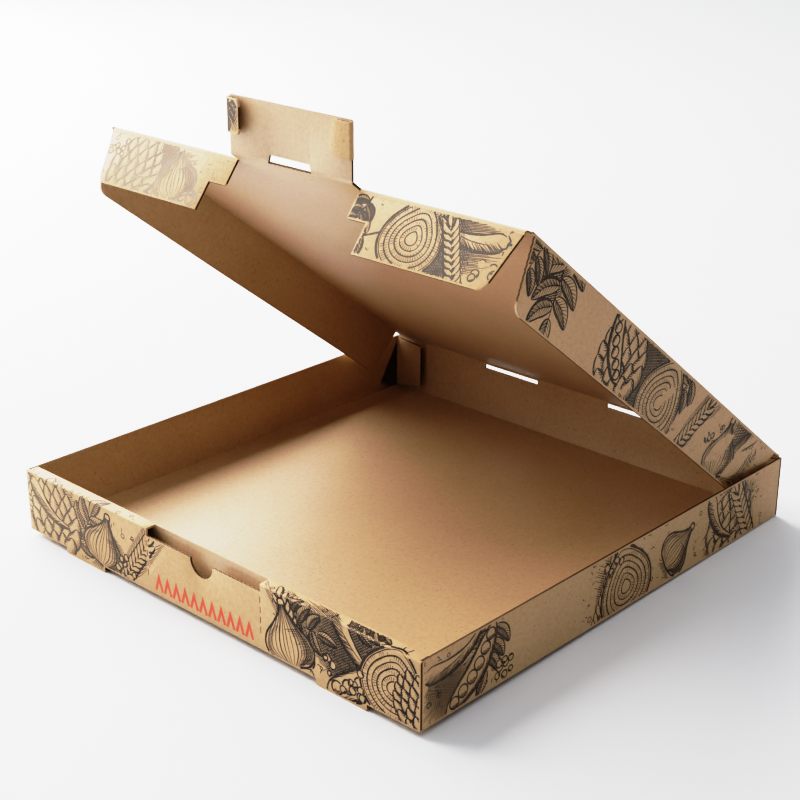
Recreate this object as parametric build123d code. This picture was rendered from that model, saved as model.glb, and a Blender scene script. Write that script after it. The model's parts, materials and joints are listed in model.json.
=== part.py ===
"""Square lock box: a one-piece folding box of thin kraft board with a roll-over front and a lock tab.

Millimetres. X runs across the front, Y from the front wall to the rear hinge, Z up.
The origin is the middle of the tray's underside. The lid stands part open.
"""
import os
from build123d import *

# board
board = 1.5
bend = 1.1
fold_gap = 0.1
side_gap = 0.3
overrun = 5.0

# tray, outside sizes
tray_width = 333.0
tray_depth = 340.0
tray_height = 41.0

# roll-over front: outer wall, top strip, inner wall
strip_width = 8.4
pocket_side_clearance = 1.0
pocket_drop = 5.0
notch_radius = 9.6
tear_slits = 4
tear_slit = 4.0
tear_slit_width = 0.4
tear_pitch = 6.2
tear_start = 3.0

# feet: tongues cut out of the base that stay in line with the front wall
foot_length = 38.0
foot_drop = 4.0
foot_place = 110.0
foot_corner = 1.6

# corner flaps of the side walls
front_corner_flap = 70.0
rear_corner_flap = 28.0
rear_corner_flap_rise = 7.0
rear_corner_flap_drop = 1.0
rear_corner_flap_angle = 8.0
rear_corner_flap_gap = 0.6

# slots under the hinge crease
hinge_slot_length = 48.5
hinge_slot_height = 3.0
hinge_slot_place = 54.7
hinge_slot_bar = 0.9

# lid
lid_clearance = 0.5
lid_floor_gap = 2.6
lid_wall_rear = 7.0
lid_wall_rear_slope = 10.0
lid_wall_front = 1.2
lid_wall_front_slope = 11.0
lid_wall_corner = 8.0
lid_open = 38.0

# front flaps of the lid
flap_length = 34.5
flap_clearance = 2.05
flap_cut = 0.5
flap_end_gap = 3.0
flap_end_slope = 9.0
flap_corner = 7.0
flap_lug = 16.5
flap_lug_radius = 1.5
flap_fold = 90.0

# lock tab and its ears
tab_width = 95.2
tab_length = 33.5
tab_clearance = 1.88
tab_corner = 1.2
tab_bend = 52.0
tab_slot_top = 31.0
tab_slot_foot = 33.5
tab_slot_height = 3.6
ear_width = 13.5
ear_start = 12.6
ear_top_gap = 0.8
ear_corner = 4.0
ear_fold_gap = 0.3
ear_left_lift = 14.0

# derived places
half_width = tray_width / 2
half_depth = tray_depth / 2
inner_half_width = half_width - board
strip_half_width = inner_half_width - side_gap
pocket_half = tab_width / 2 + pocket_side_clearance
front_inside = -half_depth + board
inner_wall_front = -half_depth + strip_width - board
inner_wall_back = -half_depth + strip_width
rear_inside = half_depth - board
hinge_y = half_depth - board / 2
hinge_z = tray_height + fold_gap + board / 2
fold_start = board / 2 + fold_gap
lid_half_width = inner_half_width - lid_clearance
flap_axis_y = inner_wall_back + flap_clearance + board
flap_axis_z = hinge_z - board / 2
tab_axis_y = front_inside + tab_clearance + board / 2
half_turn = 180.0


def slab(low, high):
    """A block between two opposite corners."""
    size = [b - a for a, b in zip(low, high)]
    middle = [(a + b) / 2 for a, b in zip(low, high)]
    return Pos(*middle) * Box(*size)


def both_sides(shape):
    """A shape on the right and its mirror image on the left."""
    return shape + mirror(shape, about=Plane.YZ)


def sheet(points, rounded, plane, thickness):
    """A board of a given outline, centred on its plane; rounded gives the radius of some of its corners."""
    outline = Polygon(*points, align=None)
    for corner, radius in rounded.items():
        chosen = [v for v in outline.vertices() if (Vector(*v) - Vector(*corner)).length < fold_gap]
        outline = fillet(chosen, radius)
    return extrude(plane * outline, thickness / 2, both=True)


def open_lid(shape):
    """Turns a shape from the closed lid's place to the lid's place at rest."""
    return shape.rotate(Axis((0, hinge_y, hinge_z), (1, 0, 0)), -lid_open)


def round_bends(shape, radius, place):
    """Rounds the straight edges along X or Y whose middle answers to a place."""
    chosen = [e for e in shape.edges() if e.geom_type == GeomType.LINE and place(e.center())]
    return fillet(chosen, radius)


# base and walls that fold up from it
base = slab((-half_width, -half_depth, 0), (half_width, half_depth, board))
side_wall = slab((inner_half_width, front_inside + side_gap, 0),
                 (half_width, rear_inside - side_gap, tray_height))
rear_wall = slab((-half_width, rear_inside, 0), (half_width, half_depth, tray_height))
front_wall = slab((-half_width, -half_depth, 0), (half_width, front_inside, tray_height))
strip = slab((-strip_half_width, -half_depth, tray_height - board),
             (strip_half_width, inner_wall_back, tray_height))
inner_wall = slab((-strip_half_width, inner_wall_front, board), (strip_half_width, inner_wall_back, tray_height))

# corner flaps: the front ones lie inside the roll-over, the rear ones stand in the corners
front_flap = slab((half_width - front_corner_flap, front_inside + side_gap, board + side_gap),
                  (half_width, front_inside + side_gap + board, tray_height - board - side_gap))
rear_flap_face = rear_inside - rear_corner_flap_gap
rear_flap_plane = Plane(origin=(inner_half_width, rear_flap_face - board / 2, 0),
                        x_dir=(-1, 0, 0), z_dir=(0, 1, 0))
rear_flap_foot = board + side_gap
rear_flap_top = tray_height - rear_corner_flap_drop
rear_flap = sheet([(0, rear_flap_foot), (rear_corner_flap, rear_flap_foot + rear_corner_flap_rise),
                   (rear_corner_flap, rear_flap_top), (0, rear_flap_top)],
                  {(rear_corner_flap, rear_flap_top): bend}, rear_flap_plane, board)
rear_flap = rear_flap.rotate(Axis((inner_half_width, rear_flap_face, 0), (0, 0, 1)), rear_corner_flap_angle)
rear_corner = slab((inner_half_width - board, rear_flap_face - board, rear_flap_foot),
                   (half_width, rear_flap_face, rear_flap_top))

tray = base + both_sides(side_wall) + rear_wall + front_wall + strip + inner_wall
tray = tray + both_sides(front_flap) + both_sides(rear_flap) + both_sides(rear_corner)

# pocket in the strip, with the outer wall's edge lowered and a half-round thumb notch
pocket_edge = tray_height - pocket_drop
tray = tray - slab((-pocket_half, -half_depth - overrun, pocket_edge),
                   (pocket_half, inner_wall_front, tray_height + overrun))
notch = Cylinder(notch_radius, board + 2 * fold_gap, rotation=(90, 0, 0))
tray = tray - Pos(0, -half_depth + board / 2, pocket_edge) * notch

# tear lines below the pocket's ends: a row of short slits through the outer wall
for row in range(tear_slits):
    slit_top = pocket_edge - tear_start - row * tear_pitch
    slit = slab((pocket_half - tear_slit_width, -half_depth - overrun, slit_top - tear_slit),
                (pocket_half, front_inside + fold_gap, slit_top))
    tray = tray - both_sides(slit)

# feet and the openings that they leave in the base
foot_slot = slab((foot_place - foot_length / 2, front_inside, -overrun),
                 (foot_place + foot_length / 2, -half_depth + foot_drop, board + side_gap))
tray = tray - both_sides(foot_slot)
foot_plane = Plane(origin=(foot_place, -half_depth + board / 2, 0), x_dir=(1, 0, 0), z_dir=(0, -1, 0))
foot_half = foot_length / 2
foot = sheet([(-foot_half, -foot_drop), (foot_half, -foot_drop), (foot_half, board), (-foot_half, board)],
             {(-foot_half, -foot_drop): foot_corner, (foot_half, -foot_drop): foot_corner}, foot_plane, board)
tray = tray + both_sides(foot)

# slots in the rear wall, just under the hinge crease
slot_top = tray_height - hinge_slot_bar
hinge_slot = slab((hinge_slot_place - hinge_slot_length / 2, rear_inside - fold_gap, slot_top - hinge_slot_height),
                  (hinge_slot_place + hinge_slot_length / 2, half_depth + overrun, slot_top))
tray = tray - both_sides(hinge_slot)


def tray_bend(middle):
    """The outer edges of the tray's folds: round the base, and along the top strip."""
    low = abs(middle.Z) < fold_gap
    high = abs(middle.Z - tray_height) < fold_gap
    side = abs(abs(middle.X) - half_width) < fold_gap and abs(middle.Y) < board
    rear = abs(middle.Y - half_depth) < fold_gap
    front = abs(middle.Y + half_depth) < fold_gap
    over = abs(middle.Y - inner_wall_back) < fold_gap
    return (low and (side or rear)) or (high and (over or front) and abs(middle.X) < strip_half_width)


tray = round_bends(tray, bend, tray_bend)

# lid, built closed: panel, tongue for the lock tab, and two side walls with sloping ends
panel_top = hinge_z + board / 2
lid_wall = panel_top - board - lid_floor_gap
panel = slab((-lid_half_width, flap_axis_y, hinge_z - board / 2), (lid_half_width, hinge_y - fold_start, panel_top))
tongue = slab((-tab_width / 2, tab_axis_y, hinge_z - board / 2), (tab_width / 2, flap_axis_y + fold_gap, panel_top))
wall_plane = Plane(origin=(lid_half_width - board / 2, 0, panel_top), x_dir=(0, -1, 0), z_dir=(1, 0, 0))
wall_front = -flap_axis_y - lid_wall_front
wall_rear = -hinge_y + lid_wall_rear
rear_low = (wall_rear + lid_wall_rear_slope, lid_wall)
front_low = (wall_front - lid_wall_front_slope, lid_wall)
lid_side = sheet([(wall_rear, 0), rear_low, front_low, (wall_front, 0)],
                 {rear_low: lid_wall_corner, front_low: lid_wall_corner}, wall_plane, board)
lid = panel + tongue + both_sides(lid_side)


def lid_bend(middle):
    """The outer edges between the lid's panel and its side walls."""
    side = abs(abs(middle.X) - lid_half_width) < fold_gap
    return side and abs(middle.Z - panel_top) < fold_gap and abs(middle.Y) < half_depth - strip_width


lid = round_bends(lid, bend, lid_bend)

# front flaps, built flat in front of the lid and folded down on the crease in its underside;
# the cut-away at their inner ends is where the ears lie in the flat sheet
flap_plane = Plane(origin=(0, flap_axis_y, hinge_z), x_dir=(1, 0, 0), z_dir=(0, 0, -1))
flap_inner = tab_width / 2 + flap_cut
flap_inner_low = flap_inner + ear_width + flap_cut
flap_outer = lid_half_width - board - flap_end_gap
flap_outer_low = flap_outer - flap_end_slope
flap_tip = (flap_outer_low, flap_length)
flap_lug_tip = (flap_inner, flap_lug)
flap_right = sheet([(flap_inner, fold_gap), (flap_outer, fold_gap), flap_tip,
                    (flap_inner_low, flap_length), (flap_inner_low, flap_lug), flap_lug_tip],
                   {flap_tip: flap_corner, flap_lug_tip: flap_lug_radius}, flap_plane, board)
flap_right = flap_right.rotate(Axis((0, flap_axis_y, flap_axis_z), (1, 0, 0)), flap_fold)
flap_left = mirror(flap_right, about=Plane.YZ)

# lock tab, built flat and bent up; its root is cut away in the middle
tab_plane = Plane(origin=(0, tab_axis_y, hinge_z), x_dir=(1, 0, 0), z_dir=(0, 0, -1))
tab_half = tab_width / 2
slot_end = fold_start + tab_slot_height
tab_tip_left = (-tab_half, tab_length)
tab_tip_right = (tab_half, tab_length)
tab = sheet([(-tab_half, fold_start), (-tab_slot_foot / 2, fold_start), (-tab_slot_top / 2, slot_end),
             (tab_slot_top / 2, slot_end), (tab_slot_foot / 2, fold_start), (tab_half, fold_start),
             tab_tip_right, tab_tip_left],
            {tab_tip_left: tab_corner, tab_tip_right: tab_corner}, tab_plane, board)

# ears, built flat beside the tab and folded on to its inner face
ear_axis_z = hinge_z - board / 2 - ear_fold_gap / 2
ear_end = tab_length - ear_top_gap
ear_root = tab_half + ear_fold_gap / 2
ear_tip = tab_half + ear_width
ear_flat = sheet([(ear_root, ear_start), (ear_tip, ear_start), (ear_tip, ear_end), (ear_root, ear_end)],
                 {(ear_tip, ear_start): ear_corner, (ear_tip, ear_end): ear_corner}, tab_plane, board)
ear_right = ear_flat.rotate(Axis((tab_half, 0, ear_axis_z), (0, 1, 0)), half_turn)
ear_left = mirror(ear_flat, about=Plane.YZ)
ear_left = ear_left.rotate(Axis((-tab_half, 0, ear_axis_z), (0, -1, 0)), half_turn - ear_left_lift)

tab_axis = Axis((0, tab_axis_y, hinge_z), (1, 0, 0))
tab, ear_left, ear_right = [part.rotate(tab_axis, -tab_bend) for part in (tab, ear_left, ear_right)]

nodes = {
    "tray": tray,
    "lid": open_lid(lid),
    "front_flap_left": open_lid(flap_left),
    "front_flap_right": open_lid(flap_right),
    "lock_tab": open_lid(tab),
    "lock_ear_left": open_lid(ear_left),
    "lock_ear_right": open_lid(ear_right),
}

os.makedirs("parts", exist_ok=True)
for name, shape in nodes.items():
    export_step(shape, f"parts/{name}.step")
    box = shape.bounding_box()
    print(name, len(shape.solids()), round(shape.volume), [round(v, 2) for v in (*box.min, *box.max)])
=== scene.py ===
# %% [markdown]
# # A folding lock box of kraft board
#
# The object is one sheet of thin corrugated board, die-cut, printed on its outside and folded
# into a shallow square tray with a lid. The solids that carry its sizes and its folds are loaded
# first, because every finished piece has to lie where they lie. They come in selected, so
# everything is deselected before the first operator runs.

# %% Load the frame
import json
import math
import random
import bpy
from mathutils import Matrix, Vector, noise


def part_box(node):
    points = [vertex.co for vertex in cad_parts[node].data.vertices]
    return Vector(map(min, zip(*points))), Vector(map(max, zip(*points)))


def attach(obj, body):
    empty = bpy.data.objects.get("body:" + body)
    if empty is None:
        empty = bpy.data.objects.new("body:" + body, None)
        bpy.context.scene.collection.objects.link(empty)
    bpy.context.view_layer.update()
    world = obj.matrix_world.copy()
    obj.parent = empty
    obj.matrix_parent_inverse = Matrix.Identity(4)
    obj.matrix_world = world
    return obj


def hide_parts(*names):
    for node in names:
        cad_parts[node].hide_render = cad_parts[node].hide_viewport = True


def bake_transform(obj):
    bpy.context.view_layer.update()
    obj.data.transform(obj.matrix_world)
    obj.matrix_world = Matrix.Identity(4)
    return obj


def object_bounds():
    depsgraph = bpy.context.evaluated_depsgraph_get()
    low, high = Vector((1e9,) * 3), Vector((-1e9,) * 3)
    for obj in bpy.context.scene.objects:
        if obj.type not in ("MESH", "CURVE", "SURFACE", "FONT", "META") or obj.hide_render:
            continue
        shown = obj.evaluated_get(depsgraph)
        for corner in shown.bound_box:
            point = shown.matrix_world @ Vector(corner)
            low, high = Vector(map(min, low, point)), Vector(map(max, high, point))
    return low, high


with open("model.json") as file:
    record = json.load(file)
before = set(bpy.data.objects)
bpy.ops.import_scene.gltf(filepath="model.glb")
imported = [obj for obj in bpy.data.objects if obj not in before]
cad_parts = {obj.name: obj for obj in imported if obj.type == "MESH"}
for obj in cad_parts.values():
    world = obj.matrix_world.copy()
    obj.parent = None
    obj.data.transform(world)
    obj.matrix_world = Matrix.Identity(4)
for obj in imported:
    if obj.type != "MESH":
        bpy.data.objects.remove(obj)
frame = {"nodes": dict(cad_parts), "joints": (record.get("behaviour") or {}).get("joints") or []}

cad_box = [list(corner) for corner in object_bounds()]
bpy.ops.object.select_all(action="DESELECT")
print("box of the solids:", [[round(v, 4) for v in corner] for corner in cad_box])

# %% [markdown]
# ## Laying the folded boards flat
#
# The lid stands open and its flaps are folded, so a pattern that runs with the board, such as
# the ribs of its fluting, can't be laid by the world's axes. Each moving board gets a turn that
# lays it back in the plane of the closed lid. The folds come from the joints of the frame, and
# the angles are those at which the solids are folded.

# %% Turns that lay each board flat
mm = 0.001
lid_open, flap_fold, tab_bend, ear_left_fold, ear_right_fold = 38, 90, 52, 166, 180
fold_at = {j["name"]: Vector(j["pos_m"]) for j in frame["joints"]}


def turn(point, axis, degrees):
    """A turn about an axis through a point."""
    there = Matrix.Translation(point)
    return there @ Matrix.Rotation(math.radians(degrees), 4, axis) @ there.inverted()


close_lid = turn(fold_at["lid_hinge"], "X", lid_open)
lay_flap = turn(close_lid @ fold_at["front_flap_right_fold"], "X", -flap_fold) @ close_lid
lay_tab = turn(close_lid @ fold_at["lock_tab_fold"], "X", tab_bend) @ close_lid
lay_ear_left = turn(lay_tab @ fold_at["lock_ear_left_fold"], "Y", ear_left_fold) @ lay_tab
lay_ear_right = turn(lay_tab @ fold_at["lock_ear_right_fold"], "Y", -ear_right_fold) @ lay_tab
lay_flat = {"tray": Matrix.Identity(4), "lid": close_lid,
            "front_flap_left": lay_flap, "front_flap_right": lay_flap, "lock_tab": lay_tab,
            "lock_ear_left": lay_ear_left, "lock_ear_right": lay_ear_right}
for name, lay in lay_flat.items():
    low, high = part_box(name)
    print(name, "middle laid flat at", [round(v / mm, 1) for v in lay @ ((low + high) / 2)])

# %% [markdown]
# ## Kraft paper
#
# Both faces of the board are brown kraft liner. Close to, it is a felt of wood fibres: mottled,
# with darker shives and paler hairs, and with the ribs of the fluting showing through as a faint
# washboard. All of it can be painted by noise. The ribs read the UV map that the boards get
# further down, because they follow the sheet round its folds, and the rest reads Object
# coordinates, so that no seam shows at a fold.

# %% Helpers for materials
flute = 3.5 * mm


def new_material(name):
    """A material with its node tree and its shader."""
    material = bpy.data.materials.new(name)
    material.use_nodes = True
    return material, material.node_tree, material.node_tree.nodes["Principled BSDF"]


def put(tree, kind, wires=None, **settings):
    """Adds a node: wires sets or links its sockets, settings are its own options."""
    made = tree.nodes.new("ShaderNode" + kind)
    for option, value in settings.items():
        setattr(made, option, value)
    for socket, source in (wires or {}).items():
        if isinstance(source, bpy.types.NodeSocket):
            tree.links.new(source, made.inputs[socket])
        else:
            made.inputs[socket].default_value = source
    return made


def calc(tree, operation, a, b=0.0, clamp=False):
    """One sum of two numbers or sockets."""
    return put(tree, "Math", {0: a, 1: b}, operation=operation, use_clamp=clamp).outputs[0]


def blend_colour(tree, share, first, second):
    """The first colour, going over to the second by a share."""
    made = put(tree, "Mix", {0: share, 6: first, 7: second}, data_type="RGBA")
    return made.outputs[2]


def grain(tree, place, scale, detail, low, high):
    """Noise whose middle part, between low and high, is spread from 0 to 1."""
    raw = put(tree, "TexNoise", {"Vector": place, "Scale": scale, "Detail": detail}).outputs["Fac"]
    return put(tree, "MapRange", {0: raw, 1: low, 2: high}).outputs[0]


# %% Kraft liner
def kraft(name, paper, shade, shive, pale, rough, shine, fuzz):
    """Brown liner paper: a paper colour, its shaded mottling, dark shives and pale hairs."""
    material, tree, shader = new_material(name)
    spot = put(tree, "TexCoord").outputs["Object"]
    sheet = put(tree, "UVMap", uv_map="board").outputs["UV"]
    cloud = grain(tree, spot, 16, 3, 0.3, 0.7)
    pulp = grain(tree, spot, 420, 5, 0.3, 0.7)
    hairs_at = put(tree, "Mapping", {"Vector": sheet, "Rotation": (0, 0, 0.5), "Scale": (520, 2300, 1)})
    hairs = grain(tree, hairs_at.outputs[0], 1, 3, 0.56, 0.72)
    shives = grain(tree, spot, 900, 1, 0.66, 0.74)
    mottle = calc(tree, "ADD", calc(tree, "MULTIPLY", cloud, 0.45), calc(tree, "MULTIPLY", pulp, 0.55))
    colour = blend_colour(tree, mottle, shade, paper)
    colour = blend_colour(tree, calc(tree, "MULTIPLY", hairs, 0.45), colour, pale)
    colour = blend_colour(tree, calc(tree, "MULTIPLY", shives, 0.6), colour, shive)
    tree.links.new(colour, shader.inputs["Base Color"])
    across = put(tree, "SeparateXYZ", {0: sheet}).outputs[0]
    ribs = calc(tree, "SINE", calc(tree, "MULTIPLY", across, 2 * math.pi / flute))
    height = calc(tree, "ADD", calc(tree, "MULTIPLY", ribs, 0.5), calc(tree, "MULTIPLY", pulp, 0.5))
    height = calc(tree, "ADD", height, calc(tree, "MULTIPLY", hairs, 0.35))
    bump = put(tree, "Bump", {"Strength": 0.35, "Distance": 0.00006, "Height": height})
    tree.links.new(bump.outputs[0], shader.inputs["Normal"])
    gloss = put(tree, "MapRange", {0: mottle, 3: rough + 0.06, 4: rough - 0.06}).outputs[0]
    tree.links.new(gloss, shader.inputs["Roughness"])
    shader.inputs["Specular IOR Level"].default_value = shine
    shader.inputs["Sheen Weight"].default_value = fuzz
    shader.inputs["Sheen Roughness"].default_value = 0.4
    return material


liner_outside = kraft("kraft_liner_outside", (0.555, 0.370, 0.205, 1), (0.470, 0.300, 0.155, 1),
                      (0.20, 0.105, 0.045, 1), (0.66, 0.49, 0.32, 1), 0.62, 0.42, 0.12)
liner_inside = kraft("kraft_liner_inside", (0.508, 0.346, 0.206, 1), (0.430, 0.279, 0.151, 1),
                     (0.20, 0.105, 0.045, 1), (0.61, 0.44, 0.28, 1), 0.47, 1.0, 0.10)
print("liner materials:", liner_outside.name, liner_inside.name)

# %% [markdown]
# ## The cut edge
#
# Where the die cut the sheet, the edge shows its make: two thin liners with a wavy paper between
# them. Cut across the ribs it is a row of small openings, on one side of the wave and then on the
# other, and the openings get a dark colour that is painted shade in the hollow flutes. Cut along
# the ribs, the pale paper keeps only 0.18 of its share and the rest takes the same dark colour, as
# painted shade of the open core. The wave is drawn in the material from a UV map whose U counts
# ribs and whose V runs through the thickness.

# %% Cut edge of the board
def fluted_edge():
    """Two liners with a wave of paper, and painted shade in the openings between them."""
    material, tree, shader = new_material("board_cut_edge")
    split = put(tree, "SeparateXYZ", {0: put(tree, "UVMap", uv_map="board").outputs["UV"]})
    rib, depth = split.outputs[0], split.outputs[1]
    spot = put(tree, "TexCoord").outputs["Object"]
    fray = grain(tree, spot, 1500, 3, 0.25, 0.75)
    middle = calc(tree, "SUBTRACT", depth, 0.5)
    wave = calc(tree, "MULTIPLY", calc(tree, "SINE", calc(tree, "MULTIPLY", rib, 2 * math.pi)), 0.3)
    from_wave = calc(tree, "ABSOLUTE", calc(tree, "SUBTRACT", middle, wave))
    paper_wave = put(tree, "MapRange", {0: from_wave, 1: 0.05, 2: 0.10, 3: 1.0, 4: 0.0}).outputs[0]
    liners = put(tree, "MapRange", {0: calc(tree, "ABSOLUTE", middle), 1: 0.38, 2: 0.43}).outputs[0]
    shut = put(tree, "Attribute", attribute_name="along_ribs").outputs["Fac"]
    # Rims cut along the ribs keep only 0.18 of the pale paper: the rest is painted shade of the open core.
    bare = calc(tree, "SUBTRACT", 1.0, calc(tree, "MULTIPLY", shut, 0.82))
    paper = calc(tree, "MULTIPLY", calc(tree, "MAXIMUM", paper_wave, liners), bare)
    # The dark core colour is painted shade in the hollow flutes, not a dark paper.
    painted_core_shade = blend_colour(tree, fray, (0.045, 0.020, 0.008, 1), (0.09, 0.045, 0.018, 1))
    cut_paper = blend_colour(tree, fray, (0.50, 0.32, 0.17, 1), (0.64, 0.45, 0.27, 1))
    tree.links.new(blend_colour(tree, paper, painted_core_shade, cut_paper), shader.inputs["Base Color"])
    height = calc(tree, "ADD", paper, calc(tree, "MULTIPLY", fray, 0.3))
    bump = put(tree, "Bump", {"Strength": 0.6, "Distance": 0.0002, "Height": height})
    tree.links.new(bump.outputs[0], shader.inputs["Normal"])
    shader.inputs["Roughness"].default_value = 0.85
    return material


cut_edge = fluted_edge()
board_materials = [liner_outside, liner_inside, cut_edge]
print("cut edge material:", cut_edge.name)

# %% [markdown]
# ## Boards with soft rims and a slight warp
#
# A die-cut board has the exact outline of its solid, but its rims aren't knife sharp and its
# panels are never dead flat. Modelling each panel again would only repeat the outline, so a copy
# of the solid's mesh is merged, its flat triangles are dissolved into whole faces, and then it is
# shaped as by hand: cuts every few centimetres let the panels warp, and a small bevel rounds the
# rims. Rims are told from liners by their width, which is the board's thickness.

# %% Copy a solid as one clean mesh
board = 1.5 * mm


def only(piece):
    """Makes a piece the one selected and active object."""
    bpy.ops.object.select_all(action="DESELECT")
    piece.select_set(True)
    bpy.context.view_layer.objects.active = piece


def board_copy(node):
    """A merged copy of a solid, its flat faces made whole."""
    piece = bpy.data.objects.new(node + "_board", frame["nodes"][node].data.copy())
    bpy.context.collection.objects.link(piece)
    piece.data.materials.clear()
    for material in board_materials:
        piece.data.materials.append(material)
    only(piece)
    bpy.ops.mesh.customdata_custom_splitnormals_clear()
    bpy.ops.object.mode_set(mode="EDIT")
    bpy.ops.mesh.select_all(action="SELECT")
    bpy.ops.mesh.remove_doubles(threshold=0.002 * mm)
    bpy.ops.mesh.dissolve_limited(angle_limit=math.radians(0.5))
    bpy.ops.object.mode_set(mode="OBJECT")
    return piece


# %% Part the ends of the front and rear walls from the side walls
def part_corners(piece):
    """Cuts the tray's outer side faces where the ends of its front and rear walls show."""
    mesh = piece.data
    bpy.ops.object.mode_set(mode="EDIT")
    for sign in (-1, 1):
        bpy.ops.mesh.select_all(action="DESELECT")
        bpy.ops.object.mode_set(mode="OBJECT")
        for face in mesh.polygons:
            face.select = abs(face.normal.x) > 0.9 and abs(face.center.x) > 166 * mm
        bpy.ops.object.mode_set(mode="EDIT")
        bpy.ops.mesh.bisect(plane_co=(0, sign * 168.35 * mm, 0), plane_no=(0, 1, 0))
    bpy.ops.object.mode_set(mode="OBJECT")


# %% Tell rims from liners
def sort_faces(piece, lay):
    """Gives each face its paper, and keeps the direction of the board's thickness on it."""
    mesh = piece.data
    counts, ways = [0, 0, 0], []
    for face in mesh.polygons:
        corners = [mesh.vertices[i].co for i in face.vertices]
        edges = [b - a for a, b in zip(corners, corners[1:] + corners[:1])]
        along = max(edges, key=lambda e: e.length).normalized()
        reach = [p.dot(along) for p in corners]
        width = face.area / (max(reach) - min(reach))
        across = face.normal.cross(along)
        rim = 0.8 * board < width < 1.16 * board and max(reach) - min(reach) > board / 2
        ways.extend(across if rim else face.normal)
        flat_normal = lay.to_3x3() @ face.normal
        centre = lay @ face.center
        if rim:
            face.material_index = 2
        elif piece.name.startswith("tray"):
            inward = flat_normal.z > 0.5 and centre.z < 3 * mm
            inward |= abs(centre.x) < 165.5 * mm and abs(flat_normal.x) > 0.5
            inward |= flat_normal.y < -0.5 and centre.y > -168 * mm
            face.material_index = 1 if inward else 0
        else:
            inward = flat_normal.z < -0.5 or (abs(flat_normal.x) > 0.5 and abs(centre.x) < 163.5 * mm)
            face.material_index = 1 if inward else 0
        counts[face.material_index] += 1
    mesh.attributes.new("through", "FLOAT_VECTOR", "FACE").data.foreach_set("vector", ways)
    return counts


# %% Cut, warp and bevel
warp_size, warp_reach = 0.32 * mm, 95 * mm
edge_fade, fold_fade, tray_rim = 18 * mm, 24 * mm, 41 * mm
fold_lines = [fold_at[name].yz for name in ("lid_hinge", "front_flap_left_fold", "lock_tab_fold")]
lean, lean_from = 5.5 * mm, 40 * mm
skin = 0.08 * mm


def warp(point):
    """The slight unevenness of folded board, dying out towards the folds and the outer limits."""
    calm = min(1.0, min((point.yz - line).length for line in fold_lines) / fold_fade)
    shift = noise.noise_vector(point / warp_reach) * calm
    moved = point.copy()
    for axis, share in enumerate((0.3, 0.3, 1.0)):
        in_tray = axis == 2 and point.z < tray_rim + 0.1 * mm
        limit = tray_rim if in_tray else cad_box[1][axis]
        room = min(point[axis] - cad_box[0][axis], limit - point[axis])
        moved[axis] += shift[axis] * share * warp_size * min(1.0, max(0.0, room / edge_fade))
    for axis in (0, 1):
        moved[axis] = min(max(moved[axis], cad_box[0][axis] + skin), cad_box[1][axis] - skin)
    return moved


def lean_in(spot):
    """The lid's side walls, laid closed, lean inwards towards the hinge, where nothing holds them."""
    side = abs(spot.x) > 162 * mm and spot.z < lean_from
    if not side:
        return spot
    drop = (lean_from - spot.z) / lean_from
    share = min(1.0, max(0.0, (spot.y + 60 * mm) / (210 * mm)))
    return Vector((spot.x - math.copysign(lean * drop * share ** 2, spot.x), spot.y, spot.z))


def cut_panels(piece, lay, spacing):
    """Cuts a board along a grid in its flat frame, so that it can warp."""
    back = lay.inverted()
    spots = [lay @ v.co for v in piece.data.vertices]
    only(piece)
    bpy.ops.object.mode_set(mode="EDIT")
    for axis in range(3):
        normal = Vector((0, 0, 0))
        normal[axis] = 1
        low, high = min(p[axis] for p in spots), max(p[axis] for p in spots)
        steps = int((high - low) / spacing)
        for step in range(1, steps):
            place = Vector((0, 0, 0))
            place[axis] = low + (high - low) * step / steps
            bpy.ops.mesh.select_all(action="SELECT")
            bpy.ops.mesh.bisect(plane_co=back @ place, plane_no=back.to_3x3() @ normal)
    bpy.ops.object.mode_set(mode="OBJECT")


def map_board(piece, lay):
    """UVs: metres across and along the ribs on a liner, ribs and thickness on a rim."""
    mesh = piece.data
    uv = mesh.uv_layers.new(name="board")
    through = mesh.attributes["through"].data
    along_ribs = []
    for face in mesh.polygons:
        normal = lay.to_3x3() @ through[face.index].vector
        axis = max(range(3), key=lambda i: abs(normal[i]))
        rib_axis, long_axis = {0: (2, 1), 1: (0, 2), 2: (0, 1)}[axis]
        spots = [lay @ mesh.vertices[mesh.loops[i].vertex_index].co for i in face.loop_indices]
        depth = [p.dot(normal) for p in spots]
        run = [max(p[a] for p in spots) - min(p[a] for p in spots) for a in (rib_axis, long_axis)]
        along_ribs.append(float(face.material_index == 2 and run[1] > run[0]))
        for i, spot, d in zip(face.loop_indices, spots, depth):
            if face.material_index == 2:
                share = (d - min(depth)) / max(max(depth) - min(depth), 0.01 * mm)
                uv.data[i].uv = (spot[rib_axis] / flute, share)
            else:
                uv.data[i].uv = (spot[rib_axis], spot[long_axis])
    mesh.attributes.new("along_ribs", "FLOAT", "FACE").data.foreach_set("value", along_ribs)


def soften_rims(piece, width):
    """A small bevel on the cut rims, and smooth shading round the folds."""
    only(piece)
    bevel = piece.modifiers.new("rim", "BEVEL")
    bevel.width, bevel.segments = width, 2
    bevel.limit_method, bevel.angle_limit = "ANGLE", math.radians(50)
    bevel.use_clamp_overlap = False
    bpy.ops.object.modifier_apply(modifier=bevel.name)
    bpy.ops.object.shade_smooth_by_angle(angle=math.radians(32))


# %% Dress every solid
boards = {}
for node, lay in lay_flat.items():
    piece = board_copy(node)
    if node == "tray":
        part_corners(piece)
    counts = sort_faces(piece, lay)
    cut_panels(piece, lay, 26 * mm)
    map_board(piece, lay)
    for vertex in piece.data.vertices:
        leaning = lay.inverted() @ lean_in(lay @ vertex.co) if node == "lid" else vertex.co
        vertex.co = warp(leaning)
    soften_rims(piece, 0.14 * mm)
    piece.data.attributes.remove(piece.data.attributes["through"])
    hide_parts(node)
    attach(piece, node)
    boards[node] = piece
    print(piece.name, "outside, inside and rim faces:", counts, "and", len(piece.data.polygons), "when cut")
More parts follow.
